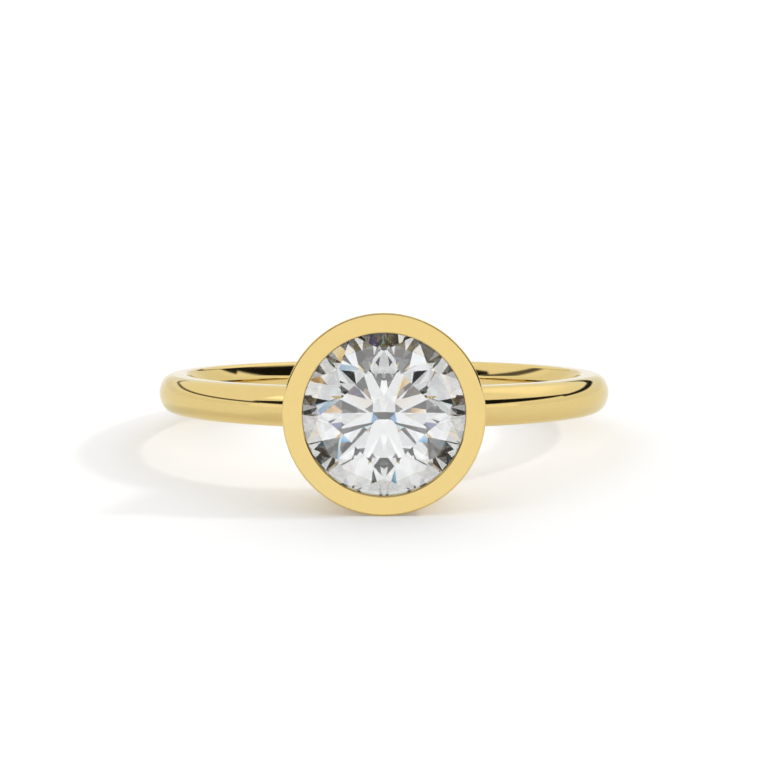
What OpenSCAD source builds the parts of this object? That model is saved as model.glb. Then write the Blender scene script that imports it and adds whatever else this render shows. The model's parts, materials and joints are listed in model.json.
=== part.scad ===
// Bezel set ring: a slim gold shank with a round cut stone held in a plain full bezel.
// Millimetres, +Z up. The ring lies on its side on a flat surface at z = 0, as it comes to rest
// by itself: on the lowest point of the bezel's rim and on the back of the shank. The stone
// faces -Y, the finger hole runs nearly upright, and the origin is under the middle of the ring.

/* [Shank] */
// Inside diameter of the finger hole
finger_d = 16.5; // [14:0.1:22]
// Thickness of the shank, from the finger side to its outer crown
shank_t = 1.35; // [1.3:0.05:2]
// Width of the shank along the finger
shank_w = 1.6; // [1.5:0.05:2]
// Distance between the centres of the two rounded shoulders beside the outer crown
shoulder_gap = 0.48; // [0.3:0.06:0.9]
// Radius of the curves that ease the inner side away from the finger, above and below its middle
comfort_r = 2; // [1.2:0.1:2.1]
// Radius of the soft edges between the inner side and the shank's flat sides
inner_round = 0.2; // [0.1:0.02:0.3]

/* [Bezel] */
// Diameter of the opening that shows the stone
opening_d = 6.08; // [4.5:0.02:8]
// Width of the flat rim around the opening
rim_w = 0.76; // [0.5:0.02:1]
// Radius of the rim's rounded inner and outer edges
edge_r = 0.07; // [0.04:0.01:0.12]
// Depth of the opening's straight wall, from the rim's face down to the stone
wall_depth = 0.5; // [0.4:0.02:1]
// Lean of the bezel's outer wall towards its base, in degrees
wall_lean = 11.5; // [9.5:0.5:15]
// Height of the bezel's base over the finger side of the shank
base_lift = 0.35; // [0.3:0.05:0.6]

/* [Stone] */
// How far the rim reaches over the stone's edge, all round
rim_cover = 0.16; // [0.08:0.01:0.2]
// Width of the table, as a share of the stone's diameter
table_share = 0.53; // [0.5:0.01:0.64]
// Slope of the main crown facets, in degrees
crown_angle = 34.5; // [32:0.5:36]
// Slope of the main pavilion facets, in degrees
pavilion_angle = 40.75; // [39.5:0.25:42]
// Thickness of the stone's edge
girdle_t = 0.16; // [0.1:0.02:0.2]
// How far the star facets reach from the table towards the edge
star_share = 0.5; // [0.45:0.01:0.6]
// How far the lower half facets reach from the edge towards the tip
lower_share = 0.8; // [0.7:0.01:0.85]
// Height of the stone's tip over the finger side of the shank
tip_lift = 0.26; // [0.2:0.02:1]

/* [Hidden] */
$fn = 96;
gold = "#EBCB86";
clear_stone = "#E9EEF2";

// Gap between the stone and the metal, all round
stone_gap = 0.05;
// A cut reaches this far past the face that it opens
past = 0.5;

// The section of the shank lies in the plane of [distance from the finger axis, height].
// Its crown arc passes into the shoulder arcs where their common radius leans 4 along and 3 up.
finger_r = finger_d / 2;
outer_r = finger_r + shank_t;
lean_along = 0.8;
lean_up = 0.6;
shoulder_z = shoulder_gap / 2;
shoulder_r = shank_w / 2 - shoulder_z;
crown_r = shoulder_r + shoulder_z / lean_up;
crown_x = outer_r - crown_r;
shoulder_x = crown_x + (crown_r - shoulder_r) * lean_along;
join_x = crown_x + crown_r * lean_along;
join_z = crown_r * lean_up;

// The inner side is straight between -land_z and land_z. Each comfort arc passes from there into a
// soft edge where their common radius leans 24 along and 7 up.
ease_along = 0.96;
ease_up = 0.28;
inner_z = shank_w / 2 - inner_round;
land_z = inner_z - (comfort_r - inner_round) * ease_up;
comfort_x = finger_r + comfort_r;
inner_x = comfort_x - (comfort_r - inner_round) * ease_along;
ease_x = comfort_x - comfort_r * ease_along;
ease_z = land_z + comfort_r * ease_up;

// The stone, from its size. Its own z = 0 is the upper side of its edge, and step is the angle from
// one of its main facets to the next.
step = 360 / 8;
opening_r = opening_d / 2;
stone_r = opening_r + rim_cover;
crown_h = stone_r * (1 - table_share) * tan(crown_angle);
pavilion_h = stone_r * tan(pavilion_angle);

// Depths below the rim's face, measured along the bezel's axis
edge_depth = wall_depth + stone_gap / cos(crown_angle) + rim_cover * tan(crown_angle);
tip_depth = edge_depth + girdle_t + pavilion_h;

// Distances from the finger axis
face_y = finger_r + tip_lift + tip_depth;
base_y = finger_r + base_lift;

// The bezel's section, in [radius, height over the rim's face]
rim_r = opening_r + rim_w;
base_z = base_y - face_y;
base_r = rim_r - (-edge_r - base_z) * tan(wall_lean);
seat_r = stone_r + stone_gap;
seat_top_z = -wall_depth - (seat_r - opening_r) * tan(crown_angle);
seat_z = -edge_depth - girdle_t - stone_gap / cos(pavilion_angle) + stone_gap * tan(pavilion_angle);
// The hollow under the stone is a cone a little steeper than the pavilion, down to a light hole
// through the shank
hollow_angle = pavilion_angle + 1.2;
light_r = 0.44;
hollow_z = seat_z - (seat_r - light_r) * tan(hollow_angle);

// At rest the floor touches the rim's widest edge and the shoulder at the back of the shank
reach_down = rim_r - shoulder_z;
reach_along = face_y - edge_r + shoulder_x;
rest_tilt = acos(shoulder_r / norm([reach_down, reach_along])) - atan2(reach_along, reach_down);
rest_z = rim_r * cos(rest_tilt) - (face_y - edge_r) * sin(rest_tilt);
rim_front = (face_y - edge_r) * cos(rest_tilt) + (rim_r - edge_r) * sin(rest_tilt) + edge_r;
table_y = face_y - edge_depth + crown_h;
table_front = table_y * cos(rest_tilt) + stone_r * table_share * cos(step / 2) * sin(rest_tilt);
front_y = max(rim_front, table_front);
back_y = crown_x * cos(rest_tilt) + crown_r;
rest_y = (front_y - back_y) / 2;

function on_circle(r, turns, z) = [r * cos(turns * step), r * sin(turns * step), z];
function ring_of(count, r, first, z) =
    [for (i = [0:count - 1]) on_circle(r, first + i * 8 / count, z)];

// Puts what is modelled in the ring's own plane, stone towards -Y, into its place at rest
module at_rest() {
    translate([0, rest_y, rest_z])
        rotate([-rest_tilt, 0, 0])
            children();
}

// Turns what is modelled upwards from the rim's face into the bezel's place, facing -Y
module on_bezel() {
    translate([0, -face_y, 0])
        rotate([90, 0, 0])
            children();
}

// Section of the shank: a crowned outer side, round shoulders, and an inner side that is eased away
// from the finger above and below
module shank_section() {
    polygon([
        [join_x, join_z], [shoulder_x, shank_w / 2], [inner_x, shank_w / 2], [ease_x, ease_z],
        [finger_r, land_z], [finger_r, -land_z],
        [ease_x, -ease_z], [inner_x, -shank_w / 2], [shoulder_x, -shank_w / 2], [join_x, -join_z]
    ]);
    round_beyond(crown_x, 0, crown_r, join_x);
    for (side = [-1, 1]) {
        round_beyond(shoulder_x, side * shoulder_z, shoulder_r, shoulder_x);
        translate([inner_x, side * inner_z])
            circle(inner_round);
    }
    comfort_curve();
    mirror([0, 1])
        comfort_curve();
}

// The sliver of a large disc that fills the upper comfort arc
module comfort_curve() {
    intersection() {
        translate([comfort_x, land_z])
            circle(comfort_r);
        translate([finger_r, land_z])
            square([ease_x - finger_r, ease_z - land_z]);
    }
}

// The part of a disc of radius r at [x, z] that lies outwards of the line at cut_x
module round_beyond(x, z, r, cut_x) {
    intersection() {
        translate([x, z])
            circle(r);
        translate([cut_x, z - 2 * r])
            square([2 * r, 4 * r]);
    }
}

// Section of the solid bezel, before the stone's seat is cut
module bezel_section() {
    polygon([
        [0, base_z], [base_r, base_z], [rim_r, -edge_r], [rim_r - edge_r, 0],
        [opening_r + edge_r, 0], [opening_r, -edge_r], [opening_r, -wall_depth], [0, -wall_depth]
    ]);
    for (x = [rim_r - edge_r, opening_r + edge_r])
        translate([x, -edge_r])
            circle(edge_r);
}

// Section of the room under the rim: the seat for the stone's edge, the hollow below it, and a
// light hole through the shank
module seat_section() {
    polygon([
        [0, -wall_depth + past], [opening_r, -wall_depth + past], [opening_r, -wall_depth],
        [seat_r, seat_top_z], [seat_r, seat_z], [light_r, hollow_z],
        [light_r, finger_r - past - face_y], [0, finger_r - past - face_y]
    ]);
}

module shank_with_bezel() {
    color(gold)
        at_rest()
            difference() {
                union() {
                    rotate_extrude()
                        shank_section();
                    on_bezel()
                        rotate_extrude()
                            bezel_section();
                }
                on_bezel()
                    rotate_extrude()
                        seat_section();
            }
}

// A round brilliant: table, 8 star, 8 main and 16 upper facets over the edge, then 16 lower and
// 8 main facets down to the tip
module stone() {
    star_r = stone_r * (table_share * cos(step / 2) * (1 - star_share) + star_share);
    star_z = (stone_r - star_r * cos(step / 2)) * tan(crown_angle);
    lower_r = stone_r * (1 - lower_share);
    lower_z = -girdle_t - (stone_r - lower_r * cos(step / 2)) * tan(pavilion_angle);
    points = concat(
        ring_of(8, stone_r * table_share, 0, crown_h),
        ring_of(8, star_r, 0.5, star_z),
        ring_of(16, stone_r, 0, 0),
        ring_of(16, stone_r, 0, -girdle_t),
        ring_of(8, lower_r, 0.5, lower_z),
        [[0, 0, -girdle_t - pavilion_h]]
    );
    table = 0;
    star = 8;
    upper = 16;
    lower = 32;
    half = 48;
    tip = 56;
    faces = concat(
        [[for (k = [7:-1:0]) table + k]],
        [for (k = [0:7]) [table + k, table + (k + 1) % 8, star + k]],
        [for (k = [0:7]) [table + k, star + k, upper + 2 * k, star + (k + 7) % 8]],
        [for (k = [0:7]) [star + k, upper + 2 * k + 1, upper + 2 * k]],
        [for (k = [0:7]) [star + k, upper + (2 * k + 2) % 16, upper + 2 * k + 1]],
        [for (j = [0:15]) [upper + j, upper + (j + 1) % 16, lower + (j + 1) % 16, lower + j]],
        [for (k = [0:7]) [half + k, lower + 2 * k, lower + 2 * k + 1]],
        [for (k = [0:7]) [half + k, lower + 2 * k + 1, lower + (2 * k + 2) % 16]],
        [for (k = [0:7]) [tip, half + (k + 7) % 8, lower + 2 * k, half + k]]
    );
    color(clear_stone)
        at_rest()
            on_bezel()
                translate([0, 0, -edge_depth])
                    rotate([0, 0, step / 2])
                        polyhedron(points = points, faces = faces);
}

shank_with_bezel();
stone();
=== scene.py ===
# %% [markdown]
# # A bezel set ring
#
# A slim gold shank carries one round brilliant in a plain full bezel, a cup whose rim is burnished
# over the edge of the stone. The ring lies on its side, the way it comes to rest on a table.
#
# The construction comes in as a fixed frame: two solids at their real size and place. This lesson
# dresses them. It makes a finely divided mirror-polished shank and bezel, cuts the stone facet by
# facet, and then sets up the studio, because polished metal and a cut stone look like whatever
# stands round them.

# %% Load the frame
import json
from collections import namedtuple
from math import acos, atan2, cos, degrees, hypot, pi, radians, sin, tan

import bmesh
import bpy
from mathutils import Matrix, Vector


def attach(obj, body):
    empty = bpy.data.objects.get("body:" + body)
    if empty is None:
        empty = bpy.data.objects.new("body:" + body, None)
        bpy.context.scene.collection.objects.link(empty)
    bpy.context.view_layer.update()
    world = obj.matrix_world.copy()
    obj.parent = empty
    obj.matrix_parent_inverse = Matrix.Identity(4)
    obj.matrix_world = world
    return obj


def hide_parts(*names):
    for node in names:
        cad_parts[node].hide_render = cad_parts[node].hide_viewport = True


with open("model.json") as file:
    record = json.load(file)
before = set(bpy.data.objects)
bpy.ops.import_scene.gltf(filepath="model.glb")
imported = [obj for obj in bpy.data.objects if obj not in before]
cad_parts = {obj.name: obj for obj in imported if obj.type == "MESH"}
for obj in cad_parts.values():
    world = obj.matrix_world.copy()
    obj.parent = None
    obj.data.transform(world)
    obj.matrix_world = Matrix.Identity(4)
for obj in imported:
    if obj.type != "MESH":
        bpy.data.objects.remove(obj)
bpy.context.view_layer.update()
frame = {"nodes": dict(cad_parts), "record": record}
scene = bpy.context.scene
print("solids:", sorted(frame["nodes"]))

# %% [markdown]
# ## Where the ring lies
#
# The frame's record says where the finger hole is: a bore with a radius, a middle and an axis.
# The ring is modelled flat first, with the hole upright and the stone towards -Y, and one matrix
# then lays every piece down where the solids lie.

# %% Place of the ring
MM = 0.001
finger_hole = frame["record"]["mounts"][0]
finger_r = finger_hole["dims"]["r_mm"] * MM
hole_centre = Vector(finger_hole["pos_m"])
hole_axis = Vector(finger_hole["axis"]).normalized()
rest_tilt = atan2(hole_axis.y, hole_axis.z)
at_rest = Matrix.Translation(hole_centre) @ Matrix.Rotation(-rest_tilt, 4, "X")
print(f"finger hole {finger_r / MM:.2f} mm in radius, leaning {degrees(rest_tilt):.2f} degrees")

# %% [markdown]
# ## The camera
#
# A small object photographed from close by shows strong perspective: here the lens stands about
# 91 mm from the middle of the ring. The camera looks along +Y from a little above the ring's
# plane. A slight vertical shift keeps the ring just under the middle of the picture, as a view
# camera would, without tilting the lens.

# %% Camera
camera_distance = 91.2 * MM
camera_above_ring = radians(4.236)
camera_lens = 99.6
camera_rise = 0.009

camera_elevation = rest_tilt + camera_above_ring
camera_data = bpy.data.cameras.new("camera")
camera_data.lens = camera_lens
camera_data.shift_y = camera_rise
camera_data.clip_start = 1 * MM
camera = bpy.data.objects.new("camera", camera_data)
scene.collection.objects.link(camera)
towards_camera = Vector((0, -cos(camera_elevation), sin(camera_elevation)))
camera.location = hole_centre + camera_distance * towards_camera
camera.rotation_euler = (pi / 2 - camera_elevation, 0, 0)
scene.camera = camera
print(f"camera {degrees(camera_elevation):.2f} degrees above the table")

# %% [markdown]
# ## Turned shapes
#
# The shank, the bezel and the room under its rim are all turned shapes: a section spun round an
# axis, as on a lathe. A mirror finish shows every flat as a kink in what it reflects, so besides
# many steps round the axis the mesh needs exact shading normals. A section is therefore drawn as
# strokes, straight ones and arcs, and each point of a stroke also says which way the true surface
# faces there. The lathe stores that direction at every corner of every face, where it survives
# the cutting and joining that follow.

# %% Strokes of a section
def arc(x, z, r, first, last, steps=12):
    """A stroke along a circle's arc between two angles, as (point, facing) pairs."""
    angles = [radians(first + (last - first) * i / steps) for i in range(steps + 1)]
    return [((x + r * cos(a), z + r * sin(a)), (cos(a), sin(a))) for a in angles]


def line(start, end):
    """A straight stroke that faces to the right of its way, as (point, facing) pairs."""
    along, up = end[0] - start[0], end[1] - start[1]
    facing = (up / hypot(along, up), -along / hypot(along, up))
    return [(start, facing), (end, facing)]


# %% [markdown]
# **One band of faces.** The lathe lays one ring of points for each end of a step along a stroke, and
# joins each ring to the one before with a band of four-cornered faces. Where a section meets the axis
# the ring is one point, so two corners of a face fall together and it becomes a triangle. A screw
# modifier could spin a section too, but it would lose the directions that the corners face.

# %% A band between two rings
turning_steps = 384
turns = [2 * pi * i / turning_steps for i in range(turning_steps)]


def band(low, high, low_facing, high_facing, sign):
    """The faces between two rings of points, and the direction that each of their corners faces."""
    faces, facings = [], []
    for i, here in enumerate(turns):
        j = (i + 1) % turning_steps
        there = turns[j]
        corners = {}
        for point, turn, facing in (
                (low[i], here, low_facing), (low[j], there, low_facing),
                (high[j], there, high_facing), (high[i], here, high_facing)):
            corners.setdefault(point, (turn, facing))
        faces.append(list(corners))
        facings += [
            (sign * out * cos(turn), sign * out * sin(turn), sign * up)
            for turn, (out, up) in corners.values()
        ]
    return faces, facings


# %% [markdown]
# **The lathe.** It walks along the strokes and collects the bands. Where two strokes meet they share
# a ring, and a section that closes on itself ends on the ring that it began with, so the skin has no
# seam. The directions are kept as an attribute of the corners.

# %% The lathe
FACING = "facing"
on_the_axis = 1e-9


def spin(name, strokes, inward=False):
    """A mesh object made by spinning a section's strokes round Z. inward is for a cutter, whose
    faces end up facing the other way."""
    sign = -1 if inward else 1
    points, faces, facings = [], [], []

    def ring(r, z):
        first = len(points)
        stops = turns if r > on_the_axis else turns[:1]
        points.extend((r * cos(a), r * sin(a), z) for a in stops)
        return [first + i % len(stops) for i in range(turning_steps)]

    opening = ring(*strokes[0][0][0])
    low = opening
    closed = strokes[-1][-1][0] == strokes[0][0][0]
    for stroke in strokes:
        for (_, start_facing), (end, end_facing) in zip(stroke, stroke[1:]):
            last = stroke is strokes[-1] and end is stroke[-1][0]
            high = opening if last and closed else ring(*end)
            band_faces, band_facings = band(low, high, start_facing, end_facing, sign)
            faces += band_faces
            facings += band_facings
            low = high
    mesh = bpy.data.meshes.new(name)
    mesh.from_pydata(points, [], faces)
    layer = mesh.attributes.new(FACING, "FLOAT_VECTOR", "CORNER")
    layer.data.foreach_set("vector", [x for f in facings for x in f])
    turned = bpy.data.objects.new(name, mesh)
    scene.collection.objects.link(turned)
    return turned


def place(turned, matrix):
    """Moves a turned mesh together with the directions that its corners face."""
    turned.data.transform(matrix)
    layer = turned.data.attributes[FACING]
    for corner in layer.data:
        corner.vector = matrix.to_3x3() @ corner.vector


# %% [markdown]
# ## The shank
#
# The shank's section has a crowned outer side between two round shoulders. Its inner side is a
# comfort fit: a low ridge touches the finger in the middle, and flatter flanks ease away from it
# above and below. One plain circle swept round would make a wire, so the section is built from arcs
# of different sizes. They pass into each other where their radii line up, so that reflections run
# over the joints unbroken.

# %% Turn the shank
shank_t = 1.35 * MM
shank_w = 1.6 * MM
shoulder_gap = 0.48 * MM
ridge_r = 1.4 * MM
ridge_lean = radians(11)
flank_r = 4 * MM
flank_lean = radians(17)

outer_r = finger_r + shank_t
shoulder_lean = atan2(3, 4)
shoulder_z = shoulder_gap / 2
shoulder_r = shank_w / 2 - shoulder_z
crown_r = shoulder_r + shoulder_z / sin(shoulder_lean)
crown_x = outer_r - crown_r
shoulder_x = crown_x + (crown_r - shoulder_r) * cos(shoulder_lean)

ridge_x = finger_r + ridge_r
flank_x = ridge_x + (flank_r - ridge_r) * cos(ridge_lean)
flank_z = -(flank_r - ridge_r) * sin(ridge_lean)
flank_top = flank_z + flank_r * sin(flank_lean)
inner_round = (shank_w / 2 - flank_top) / (1 - sin(flank_lean))
inner_x = flank_x - (flank_r - inner_round) * cos(flank_lean)
inner_z = shank_w / 2 - inner_round

crown_steps = 24
lean = degrees(shoulder_lean)
ridge = degrees(ridge_lean)
flank = degrees(flank_lean)
shank = spin("shank", [
    arc(crown_x, 0, crown_r, -lean, lean, crown_steps),
    arc(shoulder_x, shoulder_z, shoulder_r, lean, 90),
    line((shoulder_x, shank_w / 2), (inner_x, shank_w / 2)),
    arc(inner_x, inner_z, inner_round, 90, 180 - flank),
    arc(flank_x, flank_z, flank_r, 180 - flank, 180 - ridge),
    arc(ridge_x, 0, ridge_r, 180 - ridge, 180 + ridge),
    arc(flank_x, -flank_z, flank_r, 180 + ridge, 180 + flank),
    arc(inner_x, -inner_z, inner_round, 180 + flank, 270),
    line((inner_x, -shank_w / 2), (shoulder_x, -shank_w / 2)),
    arc(shoulder_x, -shoulder_z, shoulder_r, -90, -lean),
])
print(f"shank {2 * outer_r / MM:.2f} mm across, {shank_t / MM:.2f} mm thick")

# %% [markdown]
# ## The stone
#
# A lapidary grinds a stone from a round blank, one flat at a time: each facet is a plane pressed
# to the wheel at a set angle. The same can be done in code. A drum of many sides is the blank, and
# bisecting it with a plane and keeping one side is one stroke of the wheel. This gives truly flat
# facets that meet in sharp points, and the scalloped edge of a real stone, for free.
#
# The facets are named as a cutter names them. The crown over the edge has the table, 8 stars,
# 8 mains and 16 upper halves, and the pavilion below has 8 mains and 16 lower halves.

# %% Sizes of the stone
opening_r = 6.08 / 2 * MM
rim_cover = 0.16 * MM
stone_r = opening_r + rim_cover
table_share = 0.53
crown_angle = radians(34.5)
pavilion_angle = radians(40.75)
girdle_t = 0.16 * MM
star_share = 0.5
lower_share = 0.8
step = 2 * pi / 8

table_r = stone_r * table_share
crown_h = stone_r * (1 - table_share) * tan(crown_angle)
star_r = stone_r * (table_share * cos(step / 2) * (1 - star_share) + star_share)
star_z = (stone_r - star_r * cos(step / 2)) * tan(crown_angle)
pavilion_h = stone_r * tan(pavilion_angle)
lower_r = stone_r * (1 - lower_share)
lower_z = -girdle_t - (stone_r - lower_r * cos(step / 2)) * tan(pavilion_angle)
print(f"stone {2 * stone_r / MM:.2f} mm across, {(crown_h + girdle_t + pavilion_h) / MM:.2f} mm deep")

# %% [markdown]
# Each facet is the plane through three corners of the cut, and the corners lie on circles of known
# radius and height. That is how a cutting diagram gives them, and it saves working out the angle of
# every kind of facet.

# %% Facet planes
def around(r, turns, z):
    """A point at radius r, a number of eighths of a turn round, at height z."""
    return Vector((r * cos(turns * step), r * sin(turns * step), z))


def facet(a, b, c):
    """The plane through three points as (point, outward normal), outward being away from the axis."""
    normal = (b - a).cross(c - a).normalized()
    outward = (a + b + c) / 3
    outward.z += girdle_t / 2
    return a, normal if normal.dot(outward) > 0 else -normal


table_facets = [(Vector((0, 0, crown_h)), Vector((0, 0, 1)))]
crown_mains = [
    facet(around(table_r, k, crown_h), around(star_r, k + 0.5, star_z), around(star_r, k - 0.5, star_z))
    for k in range(8)
]
stars = [
    facet(around(table_r, k, crown_h), around(table_r, k + 1, crown_h), around(star_r, k + 0.5, star_z))
    for k in range(8)
]
upper_halves = [
    facet(around(star_r, k + side, star_z), around(stone_r, k, 0), around(stone_r, k + side, 0))
    for k in range(8) for side in (0.5, -0.5)
]
tip = Vector((0, 0, -girdle_t - pavilion_h))
pavilion_mains = [
    facet(tip, around(lower_r, k + 0.5, lower_z), around(lower_r, k - 0.5, lower_z)) for k in range(8)
]
lower_halves = [
    facet(
        around(lower_r, k + side, lower_z), around(stone_r, k, -girdle_t),
        around(stone_r, k + side, -girdle_t),
    )
    for k in range(8) for side in (0.5, -0.5)
]
facets = table_facets + crown_mains + stars + upper_halves + pavilion_mains + lower_halves
print(len(facets), "facets")

# %% [markdown]
# The wheel itself is one helper: it cuts the whole mesh with a plane, throws the outer part away and
# caps the cut with a single flat face.

# %% Grind the stone
smallest_edge = 1e-8


def grind(bm, point, normal):
    """Takes away everything outward of a plane and closes the cut with one flat face."""
    everything = bm.verts[:] + bm.edges[:] + bm.faces[:]
    cut = bmesh.ops.bisect_plane(
        bm, geom=everything, plane_co=point, plane_no=normal, clear_outer=True,
        dist=smallest_edge
    )
    rim = [e for e in cut["geom_cut"] if isinstance(e, bmesh.types.BMEdge)]
    bmesh.ops.edgenet_fill(bm, edges=rim)


blank_sides = 128
blank_depth = 3 * pavilion_h
bm = bmesh.new()
bmesh.ops.create_cone(
    bm, cap_ends=True, segments=blank_sides, radius1=stone_r, radius2=stone_r, depth=blank_depth,
    matrix=Matrix.Translation((0, 0, -pavilion_h / 2)),
)
for point, normal in facets:
    grind(bm, point, normal)
bmesh.ops.recalc_face_normals(bm, faces=bm.faces)
print(len(bm.faces), "faces on the cut stone")

# %% [markdown]
# ## The bezel
#
# The bezel is a turned cup that stands on the shank with its axis towards the viewer. Its outer
# wall leans in towards the base, and its rim is flat, with two fine rounded edges. Under the rim
# the cup holds the edge of the stone, and a cone of free room leads down to a small light hole.
#
# On the bench the cup is soldered to the shank and the seam is polished away, so the two are one
# piece of metal. Here the same is done with booleans: join the two turned solids, then cut the
# room for the stone out of both.

# %% Sizes of the bezel
rim_w = 0.76 * MM
edge_r = 0.07 * MM
wall_depth = 0.5 * MM
wall_lean = radians(11.5)
base_lift = 0.35 * MM
tip_lift = 0.26 * MM
stone_gap = 0.05 * MM
hollow_extra_angle = radians(1.2)
light_r = 0.44 * MM
past = 0.5 * MM

edge_depth = wall_depth + stone_gap / cos(crown_angle) + rim_cover * tan(crown_angle)
face_y = finger_r + tip_lift + edge_depth + girdle_t + pavilion_h
rim_r = opening_r + rim_w
base_z = finger_r + base_lift - face_y
base_r = rim_r - (-edge_r - base_z) * tan(wall_lean)
seat_r = stone_r + stone_gap
seat_top_z = -wall_depth - (seat_r - opening_r) * tan(crown_angle)
seat_z = -edge_depth - girdle_t - stone_gap / cos(pavilion_angle) + stone_gap * tan(pavilion_angle)
hollow_z = seat_z - (seat_r - light_r) * tan(pavilion_angle + hollow_extra_angle)
through_z = finger_r - past - face_y
on_bezel = Matrix.Translation((0, -face_y, 0)) @ Matrix.Rotation(pi / 2, 4, "X")
print(f"bezel {2 * rim_r / MM:.2f} mm across, its face {face_y / MM:.2f} mm from the finger's axis")

# %% [markdown]
# The cup is turned solid, and the room for the stone is turned as a second shape, a cutter. The
# faces that it leaves behind look into the room, so the directions stored on it are turned about.

# %% Turn the bezel and the cutter
bezel = spin("bezel", [
    line((0, base_z), (base_r, base_z)),
    line((base_r, base_z), (rim_r - edge_r + edge_r * cos(wall_lean), -edge_r - edge_r * sin(wall_lean))),
    arc(rim_r - edge_r, -edge_r, edge_r, -degrees(wall_lean), 90),
    line((rim_r - edge_r, 0), (opening_r + edge_r, 0)),
    arc(opening_r + edge_r, -edge_r, edge_r, 90, 180),
    line((opening_r, -edge_r), (opening_r, -wall_depth)),
    line((opening_r, -wall_depth), (0, -wall_depth)),
])
corners_of_room = [
    (0, through_z), (light_r, through_z), (light_r, hollow_z), (seat_r, seat_z), (seat_r, seat_top_z),
    (opening_r, -wall_depth), (0, -wall_depth + past),
]
room = spin("room", [line(*ends) for ends in zip(corners_of_room, corners_of_room[1:])], inward=True)
for turned in (bezel, room):
    place(turned, on_bezel)

# %% [markdown]
# The seat is plated white on many yellow rings, so that no yellow shines through the stone. The
# booleans can hand each tool's material on to the faces that it leaves, so both metals are named
# here and get their finish further down.

# %% Solder and cut
gold = bpy.data.materials.new("polished_yellow_gold")
white_plate = bpy.data.materials.new("white_plated_seat")
shank.data.materials.append(gold)
bezel.data.materials.append(gold)
room.data.materials.append(white_plate)


def boolean(target, tool, operation):
    """Joins or cuts one closed mesh with another, and throws the tool away."""
    work = target.modifiers.new(operation.lower(), "BOOLEAN")
    work.operation = operation
    work.solver = "EXACT"
    work.material_mode = "TRANSFER"
    work.object = tool
    depsgraph = bpy.context.evaluated_depsgraph_get()
    made = bpy.data.meshes.new_from_object(target.evaluated_get(depsgraph))
    target.modifiers.clear()
    target.data = made
    bpy.data.objects.remove(tool)


boolean(shank, bezel, "UNION")
boolean(shank, room, "DIFFERENCE")
metal = shank
metal.name = metal.data.name = "gold_shank_and_bezel"

# %% [markdown]
# Where a cutting edge passes right through a corner of the mesh, a boolean can leave an edge with no
# length and a face with no area. Merging points that nearly coincide takes them away, and the mesh
# stays one closed skin that can be printed.

# %% Clean the seams
nearly_together = 0.00005 * MM
skin = bmesh.new()
skin.from_mesh(metal.data)
points_before = len(skin.verts)
bmesh.ops.remove_doubles(skin, verts=skin.verts, dist=nearly_together)
bmesh.ops.dissolve_degenerate(skin, dist=nearly_together, edges=skin.edges)
open_edges = sum(not edge.is_manifold for edge in skin.edges)
print("merged", points_before - len(skin.verts), "points; open edges:", open_edges)
skin.to_mesh(metal.data)
skin.free()

# %% [markdown]
# The ring is now laid down, and the directions that travelled with its corners become its shading
# normals.

# %% Lay the metal down
place(metal, at_rest)
facing = metal.data.attributes[FACING]
true_normals = [corner.vector.normalized() for corner in facing.data]
off = max(
    acos(max(-1, min(1, true_normals[i] @ face.normal)))
    for face in metal.data.polygons for i in face.loop_indices
)
print(len(metal.data.polygons), "faces on the soldered ring, normals off by", round(degrees(off), 1))
plated = sum(metal.data.materials[face.material_index] == white_plate for face in metal.data.polygons)
print(plated, "of them plated white,", len(metal.data.materials), "materials")
metal.data.shade_smooth()
metal.data.normals_split_custom_set(true_normals)
metal.data.attributes.remove(metal.data.attributes[FACING])

# %% [markdown]
# ## Setting the stone
#
# The setter drops the stone into the cup and rubs the rim down over its edge. The stone was ground
# with its own edge at zero, so one matrix lays it under the rim: the same two matrices as the bezel,
# a step down to the depth of the seat, and a small turn that brings one flat of the table on top.
# The edge between crown and pavilion is left as it was ground, a little frosted, while every facet
# is polished, so those few faces get a material of their own.

# %% Set the stone
clear = bpy.data.materials.new("clear_cut_stone")
frosted = bpy.data.materials.new("ground_edge")
upright = 0.1
edge_faces = [face for face in bm.faces if abs(face.normal.z) < upright]
for face in edge_faces:
    face.material_index = 1
under_the_rim = Matrix.Translation((0, 0, -edge_depth))
flat_on_top = Matrix.Rotation(step / 2, 4, "Z")
stone_place = at_rest @ on_bezel @ under_the_rim @ flat_on_top
stone_mesh = bpy.data.meshes.new("cut_stone")
bm.to_mesh(stone_mesh)
bm.free()
stone_mesh.transform(stone_place)
stone_mesh.materials.append(clear)
stone_mesh.materials.append(frosted)
stone = bpy.data.objects.new("cut_stone", stone_mesh)
scene.collection.objects.link(stone)
print(len(edge_faces), "frosted faces round the stone's edge")

# %% [markdown]
# Each dressed piece rides on the ring's one body and stands in for its plain solid, which is hidden.

# %% Stand in for the solids
for piece, node, slot in ((metal, "shank_with_bezel", "yellow_gold"), (stone, "stone", "clear_stone")):
    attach(piece, "root")
    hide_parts(node)
print("dressed:", metal.name, "and", stone.name)

# %% [markdown]
# ## Finishes
#
# Under a lens even a mirror polish has a life of its own: the buff leaves low waves, a cloth leaves
# hairlines, and handling leaves a faint unevenness of tone. Each of these could be painted as an
# image, but a procedural node group has detail at every distance, and the same group serves every
# material with its own values. A group hands out a height, a mask or a colour, and the shader that
# uses it stays in the material.

# %% Helpers for nodes
def node(tree, kind, sockets=None, **settings):
    """A new node with its settings. A socket's value is a number, a colour or another node's output."""
    made = tree.nodes.new(kind)
    for name, value in settings.items():
        setattr(made, name, value)
    for name, value in (sockets or {}).items():
        if isinstance(value, bpy.types.NodeSocket):
            tree.links.new(value, made.inputs[name])
        else:
            made.inputs[name].default_value = value
    return made


def calculate(tree, operation, *values):
    """The result of a Math node."""
    return node(tree, "ShaderNodeMath", dict(enumerate(values)), operation=operation).outputs[0]


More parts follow.
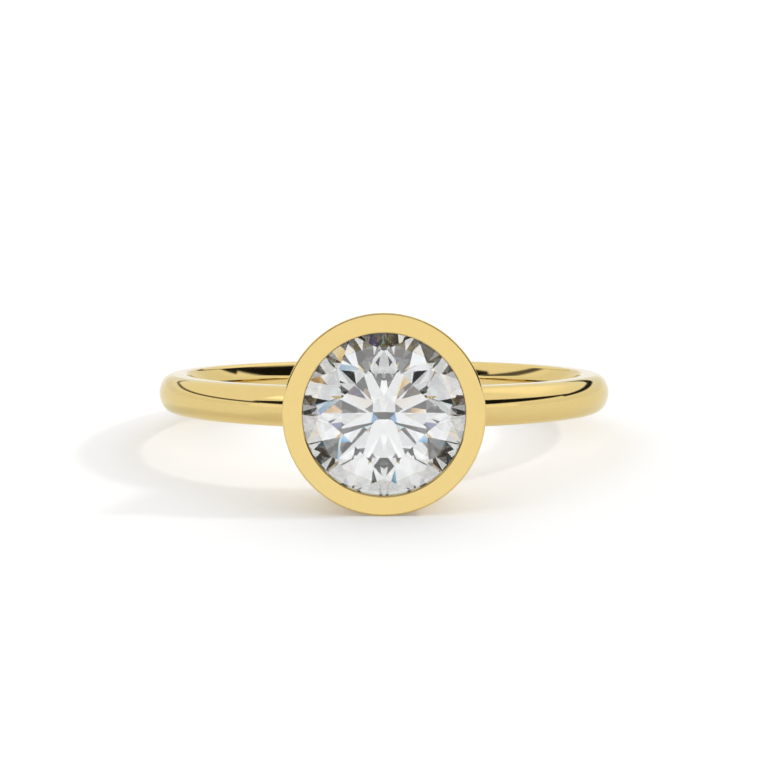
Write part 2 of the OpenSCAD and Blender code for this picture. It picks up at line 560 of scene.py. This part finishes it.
def new_group(name, inputs, outputs):
    """An empty shader node group with named inputs and outputs: (group, its inputs, its output node)."""
    group = bpy.data.node_groups.new(name, "ShaderNodeTree")
    for socket_name, kind, value in inputs:
        socket = group.interface.new_socket(name=socket_name, in_out="INPUT", socket_type=kind)
        socket.default_value = value
    for socket_name, kind in outputs:
        group.interface.new_socket(name=socket_name, in_out="OUTPUT", socket_type=kind)
    return group, group.nodes.new("NodeGroupInput").outputs, group.nodes.new("NodeGroupOutput")


def place_group(tree, group, sockets):
    """A node group placed in a material with its own values."""
    return node(tree, "ShaderNodeGroup", sockets, node_tree=group).outputs


def principled(material, base_colour, roughness, **sockets):
    """Turns on a material's nodes and sets its Principled shader. Returns its tree and shader."""
    material.use_nodes = True
    shader = material.node_tree.nodes["Principled BSDF"]
    shader.inputs["Base Color"].default_value = (*base_colour, 1)
    shader.inputs["Roughness"].default_value = roughness
    for name, value in sockets.items():
        shader.inputs[name.replace("_", " ")].default_value = value
    return material.node_tree, shader


FLOAT = "NodeSocketFloat"
COLOUR = "NodeSocketColor"
VECTOR = "NodeSocketVector"

# %% [markdown]
# **Polish waves.** A buff on a soft wheel rounds a surface into low, wide waves. Two layers of
# noise, one four times finer than the other, give their height in metres, so a Bump node with a
# distance of 1 bends the reflections by the true amount.

# %% Node group for polish waves
polish_waves, given, handed = new_group(
    "polish_waves", [("Wave Length", FLOAT, 1 * MM), ("Height", FLOAT, 0.001 * MM)], [("Height", FLOAT)])
at = node(polish_waves, "ShaderNodeTexCoord").outputs["Object"]
finer = 4
wide = calculate(polish_waves, "DIVIDE", 1, given["Wave Length"])
fine = calculate(polish_waves, "MULTIPLY", wide, finer)
layers = [node(polish_waves, "ShaderNodeTexNoise", {"Vector": at, "Scale": scale, "Detail": 0})
          for scale in (wide, fine)]
fine_part = calculate(polish_waves, "MULTIPLY", layers[1].outputs[0], 1 / finer ** 2)
summed = calculate(polish_waves, "ADD", layers[0].outputs[0], fine_part)
polish_waves.links.new(calculate(polish_waves, "MULTIPLY", summed, given["Height"]), handed.inputs[0])

# %% [markdown]
# **Hairlines.** A cloth drags single grains over the metal. Noise that is stretched a hundred times
# along one direction gives fine parallel streaks, and its highest parts are kept as separate lines.
# Two such layers, turned against each other, cross as real wipe marks do. The turns round X, Y and Z
# are in degrees.

# %% Node group for hairlines
hairlines, given, handed = new_group(
    "hairlines", [("Line Width", FLOAT, 0.01 * MM), ("Rareness", FLOAT, 0.68)], [("Mask", FLOAT)])
at = node(hairlines, "ShaderNodeTexCoord").outputs["Object"]
stretch = 100
softness = 0.08
wipes = ((20, 35, 10), (-30, -15, 70))
scale = calculate(hairlines, "DIVIDE", 1, given["Line Width"])
full = calculate(hairlines, "ADD", given["Rareness"], softness)
lines = []
for wipe in wipes:
    turned = node(hairlines, "ShaderNodeMapping", {
        "Vector": at, "Rotation": [radians(angle) for angle in wipe], "Scale": (1 / stretch, 1, 1)})
    streaks = node(hairlines, "ShaderNodeTexNoise", {
        "Vector": turned.outputs[0], "Scale": scale, "Detail": 0})
    kept = node(hairlines, "ShaderNodeMapRange", {
        "Value": streaks.outputs[0], "From Min": given["Rareness"], "From Max": full})
    lines.append(kept.outputs[0])
hairlines.links.new(calculate(hairlines, "MAXIMUM", *lines), handed.inputs[0])

# %% [markdown]
# **Uneven tone.** Polish, breath and handling leave a mirror slightly uneven. Soft noise moves the
# colour a percent or two up and down.

# %% Node group for uneven tone
uneven_tone, given, handed = new_group(
    "uneven_tone",
    [("Color", COLOUR, (1, 1, 1, 1)), ("Patch Size", FLOAT, 0.4 * MM), ("Amount", FLOAT, 0.02)],
    [("Color", COLOUR), ("Mask", FLOAT)])
at = node(uneven_tone, "ShaderNodeTexCoord").outputs["Object"]
scale = calculate(uneven_tone, "DIVIDE", 1, given["Patch Size"])
patches = node(uneven_tone, "ShaderNodeTexNoise", {"Vector": at, "Scale": scale, "Detail": 3}).outputs[0]
swing = calculate(uneven_tone, "MULTIPLY", calculate(uneven_tone, "SUBTRACT", patches, 0.5), given["Amount"])
factor = calculate(uneven_tone, "MULTIPLY_ADD", swing, 2, 1)
toned = node(uneven_tone, "ShaderNodeVectorMath", {0: given["Color"], "Scale": factor}, operation="SCALE")
uneven_tone.links.new(toned.outputs[0], handed.inputs["Color"])
uneven_tone.links.new(patches, handed.inputs["Mask"])
print("node groups:", [group.name for group in (polish_waves, hairlines, uneven_tone)])

# %% [markdown]
# ## Polished yellow gold
#
# Gold has no colour of its own under its shine: the metal itself tints what it mirrors, so the base
# colour is that tint, and metallic is 1. The alloy is a pale 14 carat yellow. Where the surface turns
# edge-on the shader pales towards its specular tint, which gives the light ends of the shank. White
# would be too pale there, so that tint is a soft cream. The roughness stays low enough for crisp
# edges in the reflections and rises only on the hairlines.

# %% Finish of the gold
edge_tint = (0.9, 0.91, 0.84, 1)
patch_size = 0.35 * MM
tone_amount = 0.03
patch_roughness = 0.02
line_width = 0.012 * MM
mark_depth = 0.00004 * MM
mark_roughness = 0.06


def finish_metal(material, colour, roughness, wave_length, wave_height, line_rareness):
    """A polished metal with waves, hairlines and uneven tone."""
    tree, shader = principled(material, colour, roughness, Metallic=1, Specular_Tint=edge_tint)
    tone = place_group(tree, uneven_tone, {
        "Color": (*colour, 1), "Patch Size": patch_size, "Amount": tone_amount})
    waves = place_group(tree, polish_waves, {"Wave Length": wave_length, "Height": wave_height})
    marks = place_group(tree, hairlines, {"Line Width": line_width, "Rareness": line_rareness})
    height = calculate(tree, "MULTIPLY_ADD", marks["Mask"], -mark_depth, waves["Height"])
    bump = node(tree, "ShaderNodeBump", {"Height": height, "Distance": 1})
    marked = calculate(tree, "MULTIPLY_ADD", marks["Mask"], mark_roughness, roughness)
    dulled = calculate(tree, "MULTIPLY_ADD", tone["Mask"], patch_roughness, marked)
    tree.links.new(dulled, shader.inputs["Roughness"])
    tree.links.new(tone["Color"], shader.inputs["Base Color"])
    tree.links.new(bump.outputs[0], shader.inputs["Normal"])


finish_metal(gold, colour=(0.725, 0.55, 0.225), roughness=0.025, wave_length=1.6 * MM,
             wave_height=0.0011 * MM, line_rareness=0.66)
print("finished", gold.name)

# %% [markdown]
# ## The plated seat
#
# The room under the stone is cut with a bur and plated white, not buffed, so it is a soft bright
# grey. It is hardly seen by itself, but it is what the stone shows wherever light leaks out of it.

# %% Finish of the seat
finish_metal(white_plate, colour=(0.78, 0.78, 0.79), roughness=0.5, wave_length=0.2 * MM,
             wave_height=0.002 * MM, line_rareness=0.55)
print("finished", white_plate.name)

# %% [markdown]
# ## The clear stone
#
# A diamond is clear glass to the shader, only with a far higher index of refraction. Light is
# trapped by total reflection and turned back out of the crown, and the pattern of light and dark
# comes from the facets alone, so the facets must be flat and the shader perfectly smooth. Three
# overlaid glasses, one for each colour, are a common recipe for fire, but with this many inner
# reflections they turn noisy and dark. Here the stone stays one clean shader, and the fire comes
# from the light around it, further down. A pale, faintly uneven tint is all the colour it has.

# %% Finish of the stone
diamond_ior = 2.417
clear_tint = (0.78, 0.79, 0.795)
tree, shader = principled(clear, clear_tint, 0, IOR=diamond_ior, Transmission_Weight=1)
at = node(tree, "ShaderNodeTexCoord").outputs["Object"]
speckle_size = 0.34 * MM
unevenness = 0.1
speckle = node(tree, "ShaderNodeTexNoise", {"Vector": at, "Scale": 1 / speckle_size, "Detail": 2})
tint = node(tree, "ShaderNodeVectorMath", {
    0: speckle.outputs["Color"], 1: [unevenness] * 3,
    2: [value - unevenness / 2 for value in clear_tint]}, operation="MULTIPLY_ADD")
tree.links.new(tint.outputs[0], shader.inputs["Base Color"])
print("finished", clear.name)

# %% [markdown]
# The stone's ground edge is the same diamond with a sugary, frosted skin.

# %% Finish of the ground edge
frost_tint = (0.86, 0.87, 0.88)
frost_roughness = 0.4
grain_size = 0.03 * MM
grain_height = 0.004 * MM
tree, shader = principled(frosted, frost_tint, frost_roughness, IOR=diamond_ior, Transmission_Weight=1)
grains = place_group(tree, polish_waves, {"Wave Length": grain_size, "Height": grain_height})
bump = node(tree, "ShaderNodeBump", {"Height": grains["Height"], "Distance": 1})
tree.links.new(bump.outputs[0], shader.inputs["Normal"])
print("finished", frosted.name)

# %% [markdown]
# ## The table top
#
# The ring lies on a plain white light table that runs out of the picture on all sides. It is matt,
# so it takes soft shadows and shows no reflection, and a faint glow of its own keeps the shadows
# pale. It belongs to the studio and not to the ring.

# %% Floor
floor_size = 3
floor_white = (0.9, 0.9, 0.9)
floor_glow = 0.172
bm = bmesh.new()
bmesh.ops.create_grid(bm, x_segments=1, y_segments=1, size=floor_size / 2)
floor_mesh = bpy.data.meshes.new("floor")
bm.to_mesh(floor_mesh)
bm.free()
floor = bpy.data.objects.new("floor", floor_mesh)
scene.collection.objects.link(floor)
light_table = bpy.data.materials.new("light_table")
_, shader = principled(light_table, floor_white, 1, Specular_IOR_Level=0)
shader.inputs["Emission Color"].default_value = (1, 1, 1, 1)
shader.inputs["Emission Strength"].default_value = floor_glow
floor.data.materials.append(light_table)
print(f"floor {floor_size} m wide")

# %% [markdown]
# ## The studio round the ring
#
# A mirror shows the room, so jewellers' photographs are made with cards: a white tent all round, and
# black cards that draw the dark lines which make the gold look solid. Those dark lines in the band
# say where each card stood. Every spot on the band faces its own way, so the place of a dark line
# on it gives the card's direction, and the facets of the stone give the rest.
#
# The cards could be planes with a light on them. Here they are painted on the world instead, where
# a card is a window in azimuth and elevation with soft edges. Azimuth is 0 towards the viewer and
# grows to the right, and both are in degrees.

# %% Node group for the studio
studio, given, handed = new_group(
    "studio_light", [("Direction", VECTOR, (0, -1, 0))], [("Light", FLOAT)])
unit = node(studio, "ShaderNodeVectorMath", {0: given["Direction"]}, operation="NORMALIZE").outputs[0]
right, back, up = node(studio, "ShaderNodeSeparateXYZ", {0: unit}).outputs
front = calculate(studio, "MULTIPLY", back, -1)
azimuth = calculate(studio, "DEGREES", calculate(studio, "ARCTAN2", right, front))
elevation = calculate(studio, "DEGREES", calculate(studio, "ARCSINE", up))


def rise(value, edge, soft):
    """0 below an edge and 1 above it, passing smoothly over a soft width."""
    start = calculate(studio, "SUBTRACT", edge, soft / 2)
    end = calculate(studio, "ADD", edge, soft / 2)
    reach = {"Value": value, "From Min": start, "From Max": end}
    return node(studio, "ShaderNodeMapRange", reach, interpolation_type="SMOOTHSTEP").outputs[0]


def window(az_from, az_to, low, high, soft):
    """1 inside a window of directions and 0 outside it."""
    sides = calculate(studio, "SUBTRACT", rise(azimuth, az_from, soft), rise(azimuth, az_to, soft))
    height = calculate(studio, "SUBTRACT", rise(elevation, low, soft), rise(elevation, high, soft))
    return calculate(studio, "MULTIPLY", sides, calculate(studio, "MAXIMUM", height, 0))


def blend(factor, a, b):
    """A number between a and b."""
    return node(studio, "ShaderNodeMix", {"Factor": factor, "A": a, "B": b}).outputs[0]


# %% [markdown]
# Each card has its sides and its lower and upper edge in degrees, how much its upper edge climbs for
# each degree to the right, how soft its edges are, and its light. The tent round them is bright, and
# the horizon is a little brighter in front, where the flat rim looks, than at the back.

# %% Cards and lamps
Card = namedtuple("Card", "az_from az_to low high slope soft light")
tent_light = 1.1
horizon_light = 1.2
horizon_top = 9
horizon_soft = 6
back_light = 1
horizon = dict(low=-100, high=horizon_top, slope=0, soft=horizon_soft, light=back_light)
cards = {
    "horizon back left": Card(az_from=-190, az_to=-70, **horizon),
    "horizon back right": Card(az_from=70, az_to=190, **horizon),
    "tent top": Card(az_from=-200, az_to=200, low=66.5, high=100, slope=0, soft=12, light=0.8),
    "front card": Card(az_from=-42, az_to=51, low=10, high=58, slope=0.02, soft=3, light=0.05),
    "left card": Card(az_from=-72, az_to=-42, low=13.5, high=21, slope=0.4, soft=3, light=0.02),
    "right card": Card(az_from=52, az_to=112, low=13.5, high=33, slope=-0.28, soft=3, light=0.01),
    "right rail": Card(az_from=106, az_to=168, low=10.5, high=15.5, slope=0, soft=2, light=0.02),
    "left rail": Card(az_from=-165, az_to=-66, low=12, high=13.5, slope=0.04, soft=2, light=0.12),
    "front lamp": Card(az_from=-14.5, az_to=16.7, low=20.5, high=35, slope=0.28, soft=2, light=1.12),
    "side lamp": Card(az_from=92, az_to=152, low=30, high=64, slope=0, soft=20, light=1.35),
    "corner lamp": Card(az_from=-72, az_to=-48, low=33, high=46, slope=0, soft=6, light=1.6),
}
light = blend(rise(elevation, horizon_top, horizon_soft), horizon_light, tent_light)
for card in cards.values():
    along = calculate(studio, "SUBTRACT", azimuth, card.az_from)
    top = calculate(studio, "MULTIPLY_ADD", along, card.slope, card.high)
    light = blend(window(card.az_from, card.az_to, card.low, top, card.soft), light, card.light)
studio.links.new(light, handed.inputs[0])
print("cards and lamps:", ", ".join(cards))

# %% [markdown]
# **Fire.** A cut stone bends blue light more than red, so the edges of lamps and cards seen through
# it part into colours. Each colour looks the studio up in a direction of its own here, spread from
# the way the stone faces, but only where a ray comes out of the stone. Everything else sees the
# plain studio, and the camera sees an even white behind the table.

# %% World
world = bpy.data.worlds.new("studio")
world.use_nodes = True
scene.world = world
sky = world.node_tree
sky.nodes.clear()
direction = node(sky, "ShaderNodeTexCoord").outputs["Generated"]
path = node(sky, "ShaderNodeLightPath").outputs
fire = 0.025
colours = []
for bend in (-fire, 0, fire):
    spread = calculate(sky, "MULTIPLY_ADD", path["Is Transmission Ray"], bend, 1)
    factors = node(sky, "ShaderNodeCombineXYZ", {"X": spread, "Y": 1, "Z": spread}).outputs[0]
    bent = node(sky, "ShaderNodeVectorMath", {0: direction, 1: factors}, operation="MULTIPLY").outputs[0]
    colours.append(place_group(sky, studio, {"Direction": bent})["Light"])
lit = node(sky, "ShaderNodeCombineColor", dict(enumerate(colours))).outputs[0]
seen = node(sky, "ShaderNodeBackground", {"Color": lit}).outputs[0]
backdrop = node(
    sky, "ShaderNodeBackground", {"Color": (1, 1, 1, 1), "Strength": horizon_light}).outputs[0]
chosen = node(sky, "ShaderNodeMixShader", {0: path["Is Camera Ray"], 1: seen, 2: backdrop}).outputs[0]
node(sky, "ShaderNodeOutputWorld", {"Surface": chosen})
print(f"fire spreads red and blue by {fire:.1%}")

# %% [markdown]
# ## The key light
#
# One light from the right throws the shadow of the ring to the left. It is a sun lamp, which lights
# the whole floor evenly, with a disc six degrees wide, as a softbox some way off would be: the
# shadow is crisp where the ring touches the floor and soft further away. The lamp is kept out of the
# reflections, which the cards already settle.

# %% Key light
key_azimuth = radians(95)
key_elevation = radians(38)
key_disc = radians(6)
key_strength = 0.62
key_data = bpy.data.lights.new("key", "SUN")
key_data.angle = key_disc
key_data.energy = key_strength
key = bpy.data.objects.new("key", key_data)
scene.collection.objects.link(key)
towards_key = Vector((
    sin(key_azimuth) * cos(key_elevation), -cos(key_azimuth) * cos(key_elevation), sin(key_elevation)))
key.rotation_mode = "QUATERNION"
key.rotation_quaternion = towards_key.to_track_quat("Z", "Y")
key.visible_glossy = False
key.visible_transmission = False
print(f"key light {degrees(key_elevation):.0f} degrees up")

# %% [markdown]
# ## The picture
#
# The plain view transform keeps white paper white, as in a product photograph. Light may bounce
# many times, because a cut stone turns it round inside again and again before letting it out.

# %% Picture
stone_bounces = 24
mirror_bounces = 12
scene.view_settings.view_transform = "Standard"
scene.cycles.max_bounces = stone_bounces
scene.cycles.transmission_bounces = stone_bounces
scene.cycles.glossy_bounces = mirror_bounces
print("light bounces:", stone_bounces, "in the stone,", mirror_bounces, "between mirrors")
